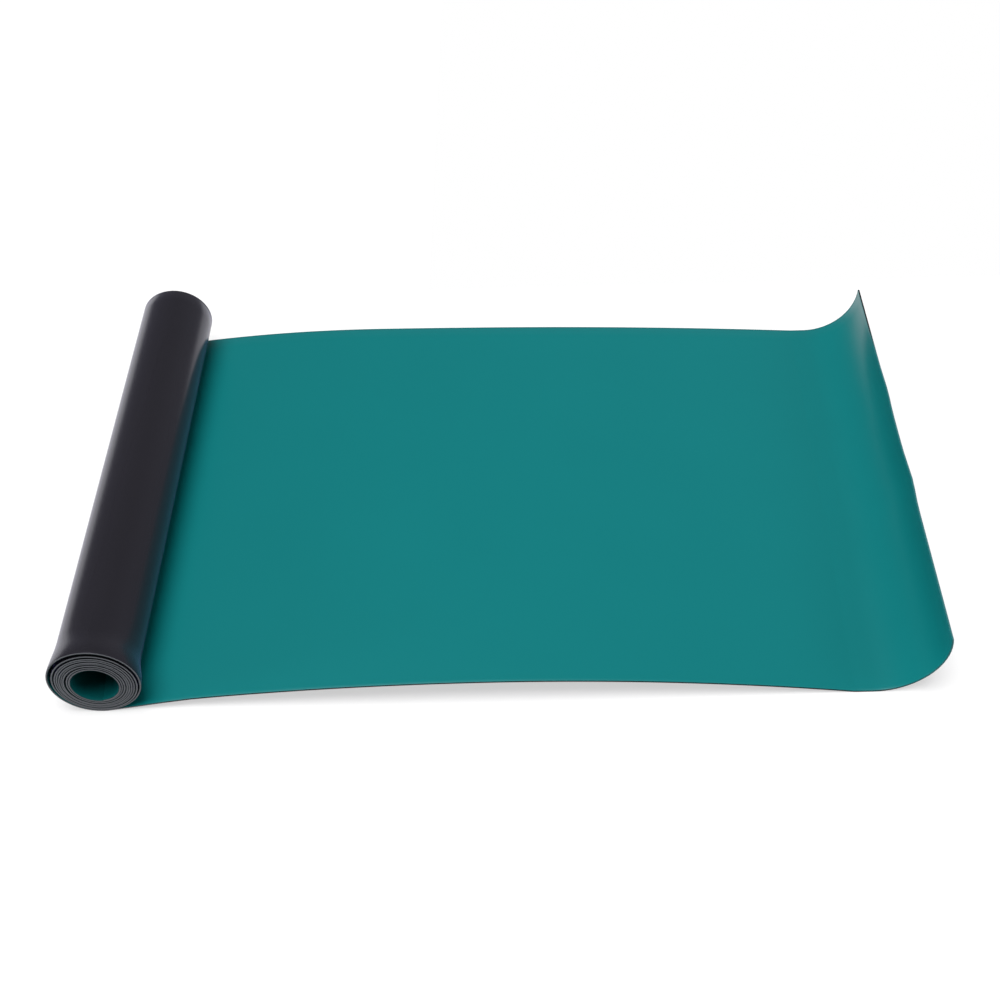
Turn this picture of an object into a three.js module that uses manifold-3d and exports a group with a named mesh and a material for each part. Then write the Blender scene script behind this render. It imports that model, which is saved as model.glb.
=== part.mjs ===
import * as THREE from 'three';
import { mergeVertices } from 'three/addons/utils/BufferGeometryUtils.js';
import Module from 'manifold-3d';

// Rubber bench mat of two plies, part unrolled: a wound roll at the left, the free sheet
// arching over the floor to the right, and its cut end curling up.
// Millimetres, +Z up. The roll's axis lies along Y and the sheet runs along +X.

// The mat's section and width
const sheetWidth = 600;
const backingThickness = 1.5;
const faceThickness = 0.5;

// The roll: bore, outside, wound turns, and how far the outer and the inner turns stand out
// past the sheet's front edge
const boreRadius = 23.9;
const rollRadius = 44.6;
const windingPitch = 2.12;
const outerSlip = 2.8;
const innerSlip = 6.6;
const grooveWidth = 0.5;
const grooveDepth = 1.6;

// The free sheet, from under the roll to its cut end, at its front and its back edge
const freeLength = 933.5;
const leaveAngleFront = THREE.MathUtils.degToRad(7.76);
const leaveAngleBack = THREE.MathUtils.degToRad(7.01);
const riseRadiusFront = 3073;
const riseRadiusBack = 2279;
const landingRadius = 45;
const contactLength = 16;
const curlRadiusFront = 69;
const curlRadiusBack = 65.3;
const curlAngleFront = THREE.MathUtils.degToRad(102.6);
const curlAngleBack = THREE.MathUtils.degToRad(91.3);

// How the sheet is rooted in the roll, and the room that the face ply keeps to the roll
const rootAngle = THREE.MathUtils.degToRad(6);
const rootDepth = 0.4;
const faceClearance = 0.3;

// Fineness of the curves
const rollSides = 48;
const archSteps = 24;
const landingSteps = 2;
const curlSteps = 12;
const widthSteps = 8;

const wasm = await Module();
wasm.setup();

const backingMaterial = new THREE.MeshStandardMaterial({ color: 0x303036, roughness: 0.5, metalness: 0 });
const faceMaterial = new THREE.MeshStandardMaterial({ color: 0x197d7f, roughness: 0.62, metalness: 0 });

// A station of the sheet's underside: its place in the X-Z plane and the slope of the sheet there.
// walkArc adds stations along an arc, turning up where the radius is positive and down where negative.
function walkArc(stations, radius, endSlope, steps) {
  const start = stations[stations.length - 1];
  for (let step = 1; step <= steps; step += 1) {
    const slope = THREE.MathUtils.lerp(start.slope, endSlope, step / steps);
    stations.push({
      x: start.x + radius * (Math.sin(slope) - Math.sin(start.slope)),
      z: start.z + radius * (Math.cos(start.slope) - Math.cos(slope)),
      slope,
    });
  }
}

// The angle at which the sheet comes down to the floor, from the height of its crest and the
// length of sheet between the crest and the strip that lies flat.
function landAngleOf(crest, spare) {
  const share = crest / spare;
  let angle = 2 * share;
  for (let pass = 0; pass < 4; pass += 1) {
    angle -= (1 - Math.cos(angle) - share * angle) / (Math.sin(angle) - share);
  }
  return angle;
}

// The underside of the sheet at one place across its width, from inside the roll to the cut end:
// it leaves the roll rising, arches over the floor, lands, lies flat for a little and curls up.
// As it rises from the roll it also drifts back by as much as the outer turn stands out in front.
function undersideAt(acrossShare) {
  const leave = THREE.MathUtils.lerp(leaveAngleFront, leaveAngleBack, acrossShare);
  const rise = THREE.MathUtils.lerp(riseRadiusFront, riseRadiusBack, acrossShare);
  const curl = THREE.MathUtils.lerp(curlRadiusFront, curlRadiusBack, acrossShare);
  const curlAngle = THREE.MathUtils.lerp(curlAngleFront, curlAngleBack, acrossShare);
  const crest = (rollRadius + rise) * (1 - Math.cos(leave));
  const spare = freeLength - (rollRadius + rise) * leave - contactLength - curl * curlAngle;
  const landAngle = landAngleOf(crest, spare);
  const fall = spare / landAngle - landingRadius;
  const rootRadius = rollRadius - rootDepth;
  const wedgeLength = Math.sqrt(2 * rollRadius * (backingThickness + faceThickness + faceClearance));
  const stations = [
    {
      x: -rootRadius * Math.sin(rootAngle),
      z: rollRadius - rootRadius * Math.cos(rootAngle),
      slope: -rootAngle,
    },
    {
      x: rollRadius * Math.sin(leave),
      z: rollRadius * (1 - Math.cos(leave)),
      slope: leave,
    },
  ];
  walkArc(stations, -rise, leave - wedgeLength / rise, 1);
  walkArc(stations, -rise, 0, archSteps / 2);
  const crestX = stations[stations.length - 1].x;
  walkArc(stations, -fall, -landAngle, archSteps / 2);
  walkArc(stations, landingRadius, 0, landingSteps);
  const landed = stations[stations.length - 1];
  stations.push({ x: landed.x + contactLength, z: landed.z, slope: 0 });
  walkArc(stations, curl, curlAngle, curlSteps);
  return stations.map((station) => ({
    ...station,
    aside: outerSlip * (1 - THREE.MathUtils.smoothstep(station.x, 0, crestX)),
  }));
}

// One ply of the sheet: a box whose grid points are laid along the underside's stations, between
// two heights above it. A mirrored ply splits its squares along the other diagonal, so that the
// two plies meet on the same triangles.
function layPly(firstStation, lowHeight, highHeight, mirrored) {
  const rows = [];
  for (let row = 0; row <= widthSteps; row += 1) {
    rows.push(undersideAt(row / widthSteps).slice(firstStation));
  }
  const lengthSteps = rows[0].length - 1;
  const box = new THREE.BoxGeometry(1, 1, 1, lengthSteps, widthSteps, 1);
  const places = box.attributes.position;
  for (let index = 0; index < places.count; index += 1) {
    const along = Math.round((places.getX(index) + 0.5) * lengthSteps);
    const across = Math.round((places.getY(index) + 0.5) * widthSteps);
    const height = places.getZ(index) > 0 ? highHeight : lowHeight;
    const station = rows[across][mirrored ? lengthSteps - along : along];
    places.setXYZ(
      index,
      station.x - height * Math.sin(station.slope),
      (across / widthSteps - 0.5) * sheetWidth - station.aside,
      station.z + height * Math.cos(station.slope),
    );
  }
  if (mirrored) {
    box.index.array.reverse();
  }
  return box;
}

// The roll's outline from the bore to the outside: every turn shows on both ends as a ring of its
// own, parted from the next by a groove, and each turn stands a little further out than the one
// around it at the front, and as much further in at the back.
function rollProfile() {
  const turns = Math.round((rollRadius - boreRadius) / windingPitch);
  const turnWidth = (rollRadius - boreRadius) / turns;
  const slipAt = (radius) =>
    THREE.MathUtils.mapLinear(radius, boreRadius, rollRadius, innerSlip, outerSlip);
  const front = [];
  const back = [];
  const addPoint = (radius, depth) => {
    const slip = slipAt(radius);
    front.push(new THREE.Vector2(radius, -sheetWidth / 2 - slip + depth));
    back.push(new THREE.Vector2(radius, sheetWidth / 2 - slip - depth));
  };
  addPoint(boreRadius, 0);
  for (let turn = 1; turn < turns; turn += 1) {
    const seam = boreRadius + turn * turnWidth;
    addPoint(seam - grooveWidth / 2, 0);
    addPoint(seam, grooveDepth);
    addPoint(seam + grooveWidth / 2, 0);
  }
  addPoint(rollRadius, 0);
  return [...front, ...back.reverse(), front[0].clone()];
}

function toSolid(geometry) {
  const bare = geometry.clone();
  bare.deleteAttribute('normal');
  bare.deleteAttribute('uv');
  const merged = mergeVertices(bare, 1e-4);
  const mesh = new wasm.Mesh({
    numProp: 3,
    vertProperties: new Float32Array(merged.attributes.position.array),
    triVerts: new Uint32Array(merged.index.array),
  });
  return new wasm.Manifold(mesh);
}

function toGeometry(solid) {
  const mesh = solid.getMesh();
  const geometry = new THREE.BufferGeometry();
  geometry.setAttribute('position', new THREE.BufferAttribute(mesh.vertProperties, 3));
  geometry.setIndex(new THREE.BufferAttribute(mesh.triVerts, 1));
  geometry.computeVertexNormals();
  return geometry;
}

function makeBacking() {
  const roll = new THREE.LatheGeometry(rollProfile(), rollSides);
  roll.translate(0, 0, rollRadius);
  const sheet = layPly(0, 0, backingThickness, false);
  const backing = new THREE.Mesh(toGeometry(toSolid(roll).add(toSolid(sheet))), backingMaterial);
  backing.name = 'black_backing';
  return backing;
}

function makeFace() {
  const geometry = layPly(2, backingThickness, backingThickness + faceThickness, true);
  const face = new THREE.Mesh(geometry, faceMaterial);
  face.name = 'green_face';
  return face;
}

// The origin is at the middle of the mat's footprint, on the floor.
const group = new THREE.Group();
group.add(makeBacking(), makeFace());
const extent = new THREE.Box3().setFromObject(group, true);
const centre = extent.getCenter(new THREE.Vector3());
group.position.set(-centre.x, -centre.y, -extent.min.z);
group.updateMatrixWorld(true);

export default group;
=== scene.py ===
import math

import bpy
from mathutils import Matrix, Vector


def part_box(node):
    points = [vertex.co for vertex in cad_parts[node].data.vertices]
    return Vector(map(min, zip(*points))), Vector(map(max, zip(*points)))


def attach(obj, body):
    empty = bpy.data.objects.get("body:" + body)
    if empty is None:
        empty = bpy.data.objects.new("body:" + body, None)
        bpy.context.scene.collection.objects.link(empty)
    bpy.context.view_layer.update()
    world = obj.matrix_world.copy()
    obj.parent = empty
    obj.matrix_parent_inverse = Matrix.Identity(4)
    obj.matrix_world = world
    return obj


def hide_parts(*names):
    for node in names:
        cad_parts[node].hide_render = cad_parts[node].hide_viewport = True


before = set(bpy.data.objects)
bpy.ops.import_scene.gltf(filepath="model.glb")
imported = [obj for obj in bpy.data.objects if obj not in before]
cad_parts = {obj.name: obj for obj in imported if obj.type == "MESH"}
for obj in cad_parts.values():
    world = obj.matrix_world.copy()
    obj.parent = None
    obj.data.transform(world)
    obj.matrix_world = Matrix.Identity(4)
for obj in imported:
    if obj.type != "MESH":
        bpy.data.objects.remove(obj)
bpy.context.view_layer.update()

# Two-ply rubber bench mat, part unrolled. The sheet is wound as one strip: from the skin that both
# plies share it is thickened down into the black back and up into the green face.

MM = 0.001
BACK_THICK = 1.5 * MM
FACE_THICK = 0.5 * MM
MAT_THICK = BACK_THICK + FACE_THICK
WIDTH = 600 * MM

# Where the roll and the sheet stand in the frame
backing_low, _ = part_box("black_backing")
_, face_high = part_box("green_face")
SOLID_ROLL_RADIUS = 44.6 * MM
ROLL_X = backing_low.x + SOLID_ROLL_RADIUS
BACK_Y = face_high.y
FRONT_Y = BACK_Y - WIDTH

# The free sheet at its front and back edge, as radii and angles of its underside
FREE_LENGTH = 933.6 * MM
LEAVE_ANGLE = (math.radians(7.95), math.radians(7.95))
RISE_RADIUS = (2939 * MM, 1877 * MM)
LANDING_RADIUS = 45 * MM
CONTACT_LENGTH = 16 * MM
CURL_RADIUS = (69.05 * MM, 65.36 * MM)
CURL_ANGLE = (math.radians(101.7), math.radians(91.4))
# Slack places along the cut end: share of the width, spread in shares, and how much less it curls
CURL_SLACK = ((0.40, 0.05, math.radians(2.2)), (0.66, 0.05, math.radians(1.4)))

# The roll: nine turns, tight along most of its length and sprung open at the front end
ROLL_RADIUS = (44.4 * MM, 44.9 * MM)
TURNS = 9
TIGHT_GAP = 0.15 * MM
FRONT_RADIUS = 48.2 * MM
FRONT_TOP_GAPS = (3.2, 2.0, 0.2, 0.5, 0.15, 0.1, 1.2, 0.15)
FRONT_BOTTOM_GAPS = (0.05, 0.05, 0.1, 0.4, 0.15, 0.1, 1.4, 0.25)
FRONT_SHIFT = 2.5 * MM
# How far the turns inside these ones are shifted aside at the front end
FRONT_SIDE_SLIPS = {0: 1.1 * MM, 6: 0.3 * MM, 7: 0.2 * MM}
SHORTEST_SLIP = 0.001 * MM
FLARE_LENGTH = 42 * MM
INNER_END_ANGLE = math.radians(8)
# How far the outer turn stands out past the free sheet's front and back edge, over what length the
# free sheet comes back to its own width, and how much further out in front the inner turns stand
ROLL_SPREAD = (-4.1 * MM, 2.7 * MM)
SPREAD_LENGTH = (110 * MM, 400 * MM)
INNER_SLIP = 2.7 * MM
# Unevenness of the turns' ends, its waves a turn in radians, and the share of the winding over which
# it sets in
TURN_UNEVENNESS = 0.3 * MM
UNEVEN_WAVES = 2.6
UNEVEN_START = 0.25

# Where sections are taken: closely at the sprung front end, evenly behind it
FLARE_SECTIONS = (0, 4, 9, 15, 22, 31)
EVEN_SECTIONS = 28

# Steps of each stretch
HALF_TURN_STEPS = 24
LEAVE_STEPS = 4
RISE_STEPS = 14
FALL_STEPS = 22
LANDING_STEPS = 3
CURL_STEPS = 20

# Cut edges: how much they are eased, from which corner on, and which corners are shaded as sharp
EDGE_EASE = 0.12 * MM
EASED_CORNER = math.radians(60)
SHARP_CORNER = math.radians(40)

# Masks of the rubber: the place read, and where the mask begins and is full. Along the strip the free
# sheet counts up from under the roll and the wound part counts down, and across it counts back
# from the front edge.
STRETCHES = {
    # Painted shade: the last strip along the back edge is darker, near black on the black ply and a
    # deeper green on the green ply
    "Back Edge Shade": ("across", WIDTH - 2.6 * MM, WIDTH - 1.2 * MM),
    # On the free sheet the black ply's cut edges are painted near black, which is painted shade; the
    # green ply's cut edges there take a dark teal
    "Free Edge": ("along", 0.02, 0.12),
    # Painted shade: the black faces of the inner turns, deep in the roll, are painted darker
    "Inner Turns Shade": ("along", -0.27, -0.35),
    # Painted shade: the green face of the wound part, inside the roll, is painted a near black green
    "Wound Face Shade": ("along", -0.03, -0.12),
    # Painted shade in the bore: the innermost turn's green is painted darker than the open sheet,
    # though lighter than the rest of the wound face
    "Bore Shade": ("along", -1.73, -1.79),
}
# Painted light: the cut edges along the front part of the curl are painted a light teal, near the
# green face's colour, so they show no dark line there
CURL_LIGHT_ALONG = ("along", 0.82, 0.88)
CURL_LIGHT_ACROSS = ("across", 0.53, 0.46)
# How much shorter the streaks are measured along the strip than across it
STREAK_STRETCH = 0.06
RELIEF_DEPTH = 0.1 * MM
SHEEN_ROUGHNESS = 0.3
# Tints of a highlight
LILAC = (0.84, 0.81, 1.0)
PLAIN = (1.0, 1.0, 1.0)

# Floor: a wide plane on the left and one on the right that ends a little behind the mat
FLOOR_DROP = 0.3 * MM
LEFT_FLOOR_SIZE = 5
LEFT_FLOOR_X = -2.6
RIGHT_FLOOR_SIZE = 3.2
RIGHT_FLOOR_X = 1.5
FLOOR_BEHIND_MAT = 110 * MM
FLOOR_GREY = 0.40
FLOOR_GLOW = 0.56

# Lamps: which way each one lies, how wide it looks in degrees, and its strength
LAMPS = {
    "soft_lamp": ((-0.13, -0.12, 1.0), 44, 3.35),
    "left_fill": ((-1, -0.1, 0.08), 30, 1.9),
    "right_fill": ((1, -0.1, 0.7), 30, 0.6),
}
# The room: its colour, the direction it grows dimmer in, how far along that it is dimmest, and its
# strength at both ends
ROOM_COLOUR = (0.95, 0.95, 1.0)
ROOM_DIMS_TOWARDS = (-0.6, 0, 1)
ROOM_DIMMEST = 0.7
ROOM_STRENGTH = (0.27, 0.11)


def between(ends, share):
    return ends[0] + (ends[1] - ends[0]) * share


def smooth(share):
    share = min(1.0, max(0.0, share))
    return share * share * (3 - 2 * share)


def deselect_everything():
    if bpy.context.object and bpy.context.object.mode != "OBJECT":
        bpy.ops.object.mode_set(mode="OBJECT")
    bpy.ops.object.select_all(action="DESELECT")


def make_active(piece):
    deselect_everything()
    piece.select_set(True)
    bpy.context.view_layer.objects.active = piece


class Pen:
    """The end of a strip's section while it is drawn: its place in the X-Z plane and its heading."""

    def __init__(self, x, y, z, heading):
        self.x, self.y, self.z, self.heading = x, y, z, heading

    def bend(self, radius, turn, steps):
        """Draws an arc. A positive radius with a positive turn bends anticlockwise."""
        centre = (self.x - radius * math.sin(self.heading), self.y,
                  self.z + radius * math.cos(self.heading))
        bpy.ops.mesh.spin(steps=steps, angle=turn, center=centre, axis=(0, 1, 0))
        self.heading += turn
        self.x = centre[0] + radius * math.sin(self.heading)
        self.z = centre[2] - radius * math.cos(self.heading)

    def run(self, length):
        step = Vector((length * math.cos(self.heading), 0, length * math.sin(self.heading)))
        bpy.ops.mesh.extrude_region_move(TRANSFORM_OT_translate={"value": step})
        self.x += step.x
        self.z += step.z


def land_angle_of(crest, spare):
    """The slope at which the arch comes down to the floor, by Newton's method."""
    share = crest / spare
    angle = 2 * share
    for _ in range(4):
        angle -= (1 - math.cos(angle) - share * angle) / (math.sin(angle) - share)
    return angle


def curl_angle_at(share):
    slack = sum(amount * math.exp(-(((share - place) / spread) ** 2))
                for place, spread, amount in CURL_SLACK)
    return between(CURL_ANGLE, share) - slack


def draw_free_sheet(pen, share, shift):
    """From under the roll: rise, crest, fall, landing, a flat strip and the curled end."""
    leave = between(LEAVE_ANGLE, share)
    rise = between(RISE_RADIUS, share)
    curl = between(CURL_RADIUS, share)
    curl_angle = curl_angle_at(share)
    roll = between(ROLL_RADIUS, share)
    crest = (roll + rise) * (1 - math.cos(leave))
    tail = CONTACT_LENGTH + curl * curl_angle
    spare = FREE_LENGTH - shift - (roll + rise) * leave - tail
    land = land_angle_of(crest, spare)
    pen.bend(roll - BACK_THICK, leave, LEAVE_STEPS)
    pen.bend(-(rise + BACK_THICK), -leave, RISE_STEPS)
    pen.bend(-(spare / land - LANDING_RADIUS + BACK_THICK), -land, FALL_STEPS)
    pen.bend(LANDING_RADIUS - BACK_THICK, land, LANDING_STEPS)
    pen.run(CONTACT_LENGTH)
    pen.bend(curl - BACK_THICK, curl_angle, CURL_STEPS)


def winding_radii(share, spring):
    """Radii of the shared skin for every half turn, from the outside in. spring is 0 where the roll
    is tight and 1 at the front end, where the outer turns stand apart along the top."""
    outer = between((between(ROLL_RADIUS, share), FRONT_RADIUS), spring)
    tops = [2 * outer]
    bottoms = [0.0]
    for top_gap, bottom_gap in zip(FRONT_TOP_GAPS, FRONT_BOTTOM_GAPS):
        tops.append(tops[-1] - MAT_THICK - between((TIGHT_GAP, top_gap * MM), spring))
        bottoms.append(bottoms[-1] + MAT_THICK + between((TIGHT_GAP, bottom_gap * MM), spring))
    bottoms.append(bottoms[-1] + MAT_THICK + TIGHT_GAP)
    radii = []
    for turn in range(TURNS):
        radii.append((tops[turn] - bottoms[turn]) / 2)
        radii.append((tops[turn] - bottoms[turn + 1]) / 2)
    return [radius - BACK_THICK for radius in radii]


def draw_winding(pen, share, spring):
    """From under the roll: up the left side, over the top, down the right side and so inwards."""
    radii = winding_radii(share, spring)
    for count, radius in enumerate(radii):
        last = count == len(radii) - 1
        pen.bend(-radius, -(math.pi - INNER_END_ANGLE if last else math.pi), HALF_TURN_STEPS)
        turn, right_half = divmod(count, 2)
        if turn in FRONT_SIDE_SLIPS and not right_half:
            pen.run(max(FRONT_SIDE_SLIPS[turn] * spring, SHORTEST_SLIP))


def draw_section(distance):
    """One section across the whole mat, at a distance behind its front edge, as a line of edges."""
    share = distance / WIDTH
    spring = smooth(1 - distance / FLARE_LENGTH)
    shift = FRONT_SHIFT * spring
    start = Vector((ROLL_X + shift, FRONT_Y + distance, BACK_THICK))
    deselect_everything()
    bpy.ops.mesh.primitive_plane_add(size=MM, location=start)
    section = bpy.context.object
    bpy.ops.object.transform_apply(location=True, rotation=False, scale=False)
    bpy.ops.object.mode_set(mode="EDIT")
    bpy.ops.mesh.select_all(action="SELECT")
    bpy.ops.mesh.merge(type="CENTER")
    draw_free_sheet(Pen(start.x, start.y, start.z, 0.0), share, shift)
    bpy.ops.object.mode_set(mode="OBJECT")
    free_count = len(section.data.vertices)
    for elements in (section.data.vertices, section.data.edges):
        elements.foreach_set("select", [False] * len(elements))
    section.data.vertices[0].select = True
    bpy.ops.object.mode_set(mode="EDIT")
    draw_winding(Pen(start.x, start.y, start.z, math.pi), share, spring)
    bpy.ops.object.mode_set(mode="OBJECT")
    mark_places(section.data, free_count, distance)
    slip_along_roll(section.data.vertices, free_count, share)
    return section


def mark_places(mesh, free_count, distance):
    """Keeps on every point how far it lies along the strip and behind the strip's front edge."""
    along = mesh.attributes.new("along", "FLOAT", "POINT")
    across = mesh.attributes.new("across", "FLOAT", "POINT")
    place = 0.0
    for index, vertex in enumerate(mesh.vertices):
        if index == free_count:
            place = (vertex.co - mesh.vertices[0].co).length
        elif index > 0:
            place += (vertex.co - mesh.vertices[index - 1].co).length
        along.data[index].value = place if index < free_count else -place
        across.data[index].value = distance


def slip_along_roll(vertices, free_count, share):
    """The roll is a touch wider than the free sheet, and its inner turns stand out in front, each
    a little unevenly."""
    spread = between(ROLL_SPREAD, share)
    length = between(SPREAD_LENGTH, share)
    wound_count = len(vertices) - free_count
    for index, vertex in enumerate(vertices):
        if index < free_count:
            vertex.co.y += spread * (1 - smooth((vertex.co.x - ROLL_X) / length))
        else:
            wound = (index - free_count + 1) / wound_count
            wave = math.sin(UNEVEN_WAVES * TURNS * wound)
            uneven = TURN_UNEVENNESS * wave * smooth(wound / UNEVEN_START)
            vertex.co.y += spread - INNER_SLIP * wound + uneven


def make_skin():
    """The surface where the two plies meet: all sections joined and bridged, green side up."""
    distances = [place * MM for place in FLARE_SECTIONS]
    for count in range(EVEN_SECTIONS + 1):
        distances.append(FLARE_LENGTH + (WIDTH - FLARE_LENGTH) * count / EVEN_SECTIONS)
    sections = [draw_section(distance) for distance in distances]
    deselect_everything()
    for section in sections:
        section.select_set(True)
    bpy.context.view_layer.objects.active = sections[0]
    bpy.ops.object.join()
    skin = bpy.context.object
    bpy.ops.object.mode_set(mode="EDIT")
    bpy.ops.mesh.select_mode(type="EDGE")
    bpy.ops.mesh.select_all(action="SELECT")
    bpy.ops.mesh.bridge_edge_loops(type="SINGLE")
    bpy.ops.mesh.select_mode(type="FACE")
    bpy.ops.mesh.select_all(action="SELECT")
    bpy.ops.mesh.normals_make_consistent(inside=False)
    bpy.ops.object.mode_set(mode="OBJECT")
    middle = min(skin.data.polygons, key=lambda face: face.center.length)
    if middle.normal.z < 0:
        bpy.ops.object.mode_set(mode="EDIT")
        bpy.ops.mesh.flip_normals()
        bpy.ops.object.mode_set(mode="OBJECT")
    return skin


def thicken(ply, thickness, side):
    """Gives the skin its wall, on the face side (1) or the back side (-1), and eases its cut edges."""
    make_active(ply)
    wall = ply.modifiers.new("wall", "SOLIDIFY")
    wall.thickness = thickness
    wall.offset = side
    wall.use_even_offset = True
    wall.material_offset_rim = 1
    ease = ply.modifiers.new("eased edge", "BEVEL")
    ease.width = EDGE_EASE
    ease.segments = 2
    ease.limit_method = "ANGLE"
    ease.angle_limit = EASED_CORNER
    bpy.ops.object.modifier_apply(modifier=wall.name)
    bpy.ops.object.modifier_apply(modifier=ease.name)
    bpy.ops.object.shade_smooth_by_angle(angle=SHARP_CORNER)


def rubber_surface_group():
    """Calendered rubber, read along and across the strip: fine grain, faint streaks that run with
    the strip, slow cloudiness, and masks for its back edge, its free and curled part, its inner
    turns, its wound face and the bore. These masks carry painted shade and painted light into the
    colour."""
    group = bpy.data.node_groups.new("rubber_surface", "ShaderNodeTree")
    for name, value in (("Grain Scale", 1500), ("Streak Scale", 60), ("Cloud Scale", 7),
                        ("Streak Share", 0.35)):
        socket = group.interface.new_socket(name, in_out="INPUT", socket_type="NodeSocketFloat")
        socket.default_value = value
    for name in ("Height", "Grain", "Cloud", "Curl Edge Light", *STRETCHES):
        group.interface.new_socket(name, in_out="OUTPUT", socket_type="NodeSocketFloat")
    nodes, links = group.nodes, group.links
    given = nodes.new("NodeGroupInput")
    result = nodes.new("NodeGroupOutput")

    def strip_place(name):
        reader = nodes.new("ShaderNodeAttribute")
        reader.attribute_name = name
        return reader.outputs["Fac"]

    def noise(vector, scale, detail, roughness):
        texture = nodes.new("ShaderNodeTexNoise")
        texture.inputs["Detail"].default_value = detail
        texture.inputs["Roughness"].default_value = roughness
        links.new(vector, texture.inputs["Vector"])
        links.new(scale, texture.inputs["Scale"])
        return texture.outputs["Fac"]

    flat = nodes.new("ShaderNodeCombineXYZ")
    links.new(strip_place("along"), flat.inputs["X"])
    links.new(strip_place("across"), flat.inputs["Y"])
    drawn = nodes.new("ShaderNodeVectorMath")
    drawn.operation = "MULTIPLY"
    drawn.inputs[1].default_value = (STREAK_STRETCH, 1, 1)
    links.new(flat.outputs["Vector"], drawn.inputs[0])
    grain = noise(flat.outputs["Vector"], given.outputs["Grain Scale"], 4, 0.65)
    streak = noise(drawn.outputs["Vector"], given.outputs["Streak Scale"], 3, 0.5)
    cloud = noise(flat.outputs["Vector"], given.outputs["Cloud Scale"], 3, 0.5)
    height = nodes.new("ShaderNodeMath")
    height.operation = "MULTIPLY_ADD"
    links.new(streak, height.inputs[0])
    links.new(given.outputs["Streak Share"], height.inputs[1])
    links.new(grain, height.inputs[2])

    def mask(place, start, end):
        ramp = nodes.new("ShaderNodeMapRange")
        ramp.interpolation_type = "SMOOTHSTEP"
        ramp.inputs["From Min"].default_value = start
        ramp.inputs["From Max"].default_value = end
        links.new(strip_place(place), ramp.inputs["Value"])
        return ramp.outputs["Result"]

    for name, (place, start, end) in STRETCHES.items():
        links.new(mask(place, start, end), result.inputs[name])
    curl_light = nodes.new("ShaderNodeMath")
    curl_light.operation = "MULTIPLY"
    links.new(mask(*CURL_LIGHT_ALONG), curl_light.inputs[0])
    links.new(mask(*CURL_LIGHT_ACROSS), curl_light.inputs[1])
    links.new(curl_light.outputs[0], result.inputs["Curl Edge Light"])
    links.new(height.outputs[0], result.inputs["Height"])
    links.new(grain, result.inputs["Grain"])
    links.new(cloud, result.inputs["Cloud"])
    return group


RUBBER_SURFACE = rubber_surface_group()


def rubber(name, tones, edge, stretches, rough, specular, tint, grain_scale, cloud_scale, bump):
    """A rubber finish: two near tones mixed by the cloud, a third along the named edge, painted
    shade and painted light on stretches of the strip, and a roughness that follows the grain and is
    dull along the edge."""
    material = bpy.data.materials.new(name)
    material.use_nodes = True
    nodes, links = material.node_tree.nodes, material.node_tree.links
    shader = nodes["Principled BSDF"]
    shader.inputs["Specular IOR Level"].default_value = specular
    shader.inputs["Specular Tint"].default_value = (*tint, 1)
    surface = nodes.new("ShaderNodeGroup")
    surface.node_tree = RUBBER_SURFACE
    surface.inputs["Grain Scale"].default_value = grain_scale
    surface.inputs["Cloud Scale"].default_value = cloud_scale

    def mixed(factor, first, second):
        mix = nodes.new("ShaderNodeMix")
        mix.data_type = "RGBA"
        links.new(factor, mix.inputs["Factor"])
        for socket, colour in ((mix.inputs["A"], first), (mix.inputs["B"], second)):
            if isinstance(colour, tuple):
                socket.default_value = (*colour, 1)
            else:
                links.new(colour, socket)
        return mix.outputs["Result"]

    tone = mixed(surface.outputs["Cloud"], *tones)
    edge_mask, edge_colour = edge
    for mask, colour in ((edge_mask, edge_colour), *stretches):
        tone = mixed(surface.outputs[mask], tone, colour)
    gloss = nodes.new("ShaderNodeMapRange")
    gloss.inputs["To Min"].default_value = rough[0]
    gloss.inputs["To Max"].default_value = rough[1]
    relief = nodes.new("ShaderNodeBump")
    relief.inputs["Strength"].default_value = bump
    relief.inputs["Distance"].default_value = RELIEF_DEPTH
    links.new(surface.outputs["Grain"], gloss.inputs["Value"])
    links.new(surface.outputs["Height"], relief.inputs["Height"])
    links.new(tone, shader.inputs["Base Color"])
    dull = nodes.new("ShaderNodeMath")
    dull.operation = "MAXIMUM"
    links.new(gloss.outputs["Result"], dull.inputs[0])
    links.new(surface.outputs[edge_mask], dull.inputs[1])
    links.new(dull.outputs[0], shader.inputs["Roughness"])
    links.new(relief.outputs["Normal"], shader.inputs["Normal"])
    return material


def add_sheen(material, weight, tint):
    shader = material.node_tree.nodes["Principled BSDF"]
    shader.inputs["Sheen Weight"].default_value = weight
    shader.inputs["Sheen Roughness"].default_value = SHEEN_ROUGHNESS
    shader.inputs["Sheen Tint"].default_value = (*tint, 1)


def dress(ply, surface, cut_edge):
    ply.data.materials.clear()
    ply.data.materials.append(surface)
    ply.data.materials.append(cut_edge)


def dress_in_black(backing):
    black = rubber("black_rubber", tones=((0.0138, 0.0131, 0.0165), (0.0158, 0.0151, 0.019)),
                   # Painted shade along the back edge
                   edge=("Back Edge Shade", (0.002, 0.002, 0.003)),
                   # Painted shade on the inner turns
                   stretches=[("Inner Turns Shade", (0.004, 0.004, 0.005))],
                   rough=(0.21, 0.28), specular=0.40, tint=LILAC,
                   grain_scale=1400, cloud_scale=9, bump=0.2)
    add_sheen(black, 0.19, (0.35, 0.30, 1.0))
    cut = rubber("cut_black_rubber", tones=((0.095, 0.099, 0.111), (0.140, 0.146, 0.160)),
                 # Painted shade: the free sheet's black cut edges are near black
                 edge=("Free Edge", (0.010, 0.010, 0.012)),
                 # Painted light on the curl's front cut edges
                 stretches=[("Curl Edge Light", (0.035, 0.140, 0.148))],
                 rough=(0.6, 0.8), specular=0.12, tint=PLAIN,
                 grain_scale=2600, cloud_scale=60, bump=0.4)
    dress(backing, black, cut)


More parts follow.
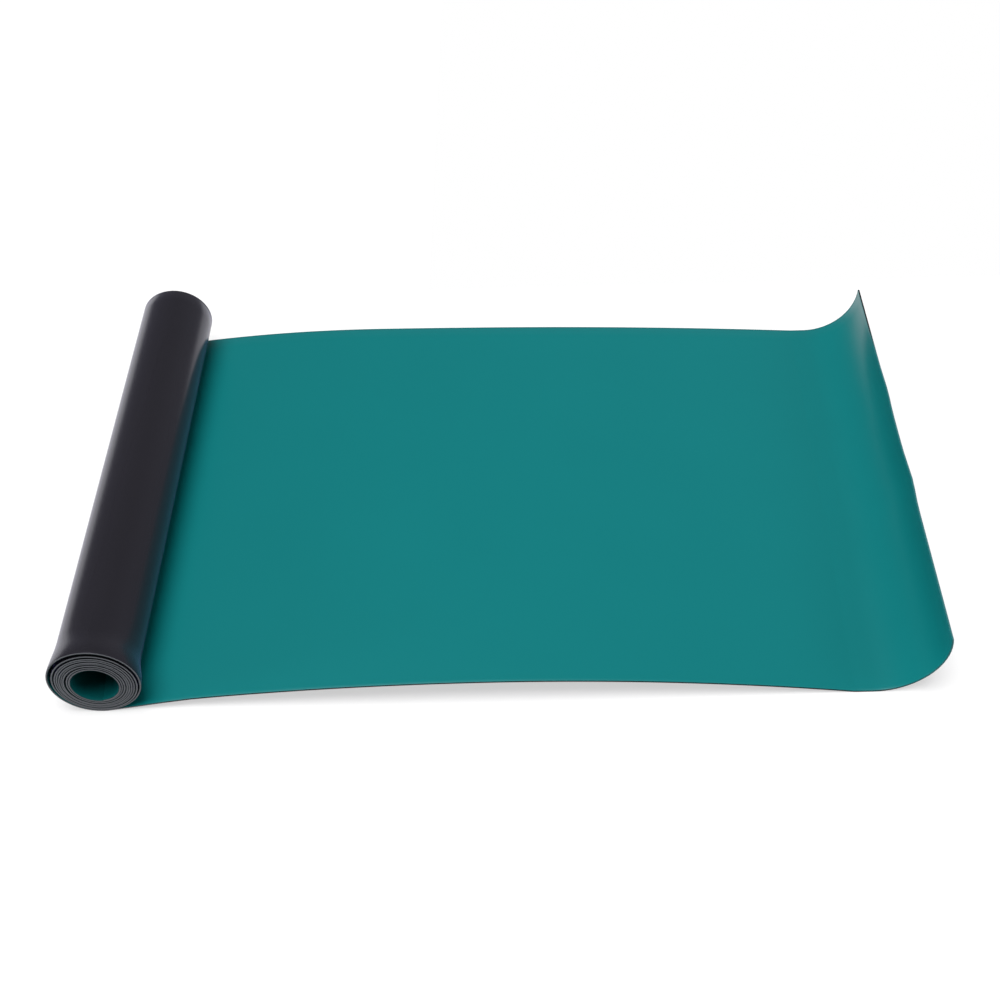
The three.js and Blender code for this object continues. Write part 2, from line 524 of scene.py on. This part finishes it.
def dress_in_green(face):
    green = rubber("green_rubber", tones=((0.0016, 0.152, 0.157), (0.0020, 0.160, 0.165)),
                   # Painted shade along the back edge
                   edge=("Back Edge Shade", (0.001, 0.11, 0.115)),
                   # Painted shade on the wound green face
                   stretches=[("Wound Face Shade", (0.001, 0.018, 0.019)),
                              # Painted shade in the bore
                              ("Bore Shade", (0.001, 0.080, 0.083))],
                   rough=(0.29, 0.35), specular=0.30, tint=PLAIN,
                   grain_scale=1600, cloud_scale=7, bump=0.15)
    add_sheen(green, 0.03, (0.5, 0.45, 1.0))
    cut = rubber("cut_green_rubber", tones=((0.004, 0.012, 0.013), (0.006, 0.018, 0.019)),
                 edge=("Free Edge", (0.003, 0.04, 0.042)),
                 # Painted light on the curl's front cut edges
                 stretches=[("Curl Edge Light", (0.020, 0.120, 0.126))],
                 rough=(0.6, 0.8), specular=0.12, tint=PLAIN,
                 grain_scale=2600, cloud_scale=60, bump=0.4)
    dress(face, green, cut)


def make_plies():
    backing = make_skin()
    face = backing.copy()
    face.data = backing.data.copy()
    bpy.context.scene.collection.objects.link(face)
    backing.name = "backing_ply"
    face.name = "face_ply"
    dress_in_black(backing)
    dress_in_green(face)
    thicken(backing, BACK_THICK, -1)
    thicken(face, FACE_THICK, 1)
    return backing, face


def make_floor():
    right_y = BACK_Y + FLOOR_BEHIND_MAT - RIGHT_FLOOR_SIZE / 2
    bpy.ops.mesh.primitive_plane_add(size=RIGHT_FLOOR_SIZE,
                                     location=(RIGHT_FLOOR_X, right_y, -FLOOR_DROP))
    floor = bpy.context.object
    bpy.ops.mesh.primitive_plane_add(size=LEFT_FLOOR_SIZE, location=(LEFT_FLOOR_X, 0, -FLOOR_DROP))
    bpy.context.object.select_set(True)
    floor.select_set(True)
    bpy.context.view_layer.objects.active = floor
    bpy.ops.object.join()
    floor.name = "studio_floor"
    material = bpy.data.materials.new("pale_floor")
    material.use_nodes = True
    shader = material.node_tree.nodes["Principled BSDF"]
    shader.inputs["Base Color"].default_value = (FLOOR_GREY, FLOOR_GREY, FLOOR_GREY, 1)
    shader.inputs["Roughness"].default_value = 0.9
    shader.inputs["Specular IOR Level"].default_value = 0.1
    shader.inputs["Emission Color"].default_value = (1, 1, 1, 1)
    shader.inputs["Emission Strength"].default_value = FLOOR_GLOW
    floor.data.materials.append(material)


def add_lamp(name, towards, width, energy):
    data = bpy.data.lights.new(name, "SUN")
    data.angle = math.radians(width)
    data.energy = energy
    lamp = bpy.data.objects.new(name, data)
    bpy.context.scene.collection.objects.link(lamp)
    lamp.rotation_euler = Vector(towards).to_track_quat("Z", "Y").to_euler()


def make_light():
    """A broad soft lamp high in front, a fill at each side, a dim room that is paler low down
    on the right, and a white backdrop past the floor."""
    for name, (towards, width, energy) in LAMPS.items():
        add_lamp(name, towards, width, energy)
    world = bpy.data.worlds.new("studio")
    bpy.context.scene.world = world
    world.use_nodes = True
    nodes, links = world.node_tree.nodes, world.node_tree.links
    room = nodes["Background"]
    room.inputs["Color"].default_value = (*ROOM_COLOUR, 1)
    direction = nodes.new("ShaderNodeTexCoord")
    slope = nodes.new("ShaderNodeVectorMath")
    slope.operation = "DOT_PRODUCT"
    slope.inputs[1].default_value = ROOM_DIMS_TOWARDS
    height = nodes.new("ShaderNodeMapRange")
    height.inputs["From Max"].default_value = ROOM_DIMMEST
    height.inputs["To Min"].default_value = ROOM_STRENGTH[0]
    height.inputs["To Max"].default_value = ROOM_STRENGTH[1]
    links.new(direction.outputs["Generated"], slope.inputs[0])
    links.new(slope.outputs["Value"], height.inputs["Value"])
    links.new(height.outputs["Result"], room.inputs["Strength"])
    backdrop = nodes.new("ShaderNodeBackground")
    backdrop.inputs["Color"].default_value = (1, 1, 1, 1)
    ray = nodes.new("ShaderNodeLightPath")
    choice = nodes.new("ShaderNodeMixShader")
    links.new(ray.outputs["Is Camera Ray"], choice.inputs[0])
    links.new(room.outputs[0], choice.inputs[1])
    links.new(backdrop.outputs[0], choice.inputs[2])
    links.new(choice.outputs[0], nodes["World Output"].inputs["Surface"])


# Camera: place over the floor, turn, tilt below the horizon, roll and focal length
CAMERA_FROM_ROLL = (437.6 * MM, -1224.6 * MM, 1224.4 * MM)
CAMERA_TURN = math.radians(-0.794)
CAMERA_TILT = math.radians(45.116)
CAMERA_ROLL = math.radians(-1.845)
CAMERA_LENS = 52.25


def make_camera():
    data = bpy.data.cameras.new("camera")
    camera = bpy.data.objects.new("camera", data)
    bpy.context.scene.collection.objects.link(camera)
    bpy.context.scene.camera = camera
    data.sensor_fit = "HORIZONTAL"
    data.sensor_width = 36
    data.lens = CAMERA_LENS
    middle_y = FRONT_Y + WIDTH / 2
    place = Vector((ROLL_X, middle_y, 0)) + Vector(CAMERA_FROM_ROLL)
    turn = Matrix.Rotation(-CAMERA_TURN, 4, "Z")
    tilt = Matrix.Rotation(math.pi / 2 - CAMERA_TILT, 4, "X")
    roll = Matrix.Rotation(CAMERA_ROLL, 4, "Z")
    camera.matrix_world = Matrix.Translation(place) @ turn @ tilt @ roll


make_camera()
make_light()
make_floor()
backing_ply, face_ply = make_plies()
for ply, node in ((backing_ply, "black_backing"), (face_ply, "green_face")):
    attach(ply, "root")
    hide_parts(node)
bpy.context.scene.view_settings.view_transform = "Standard"
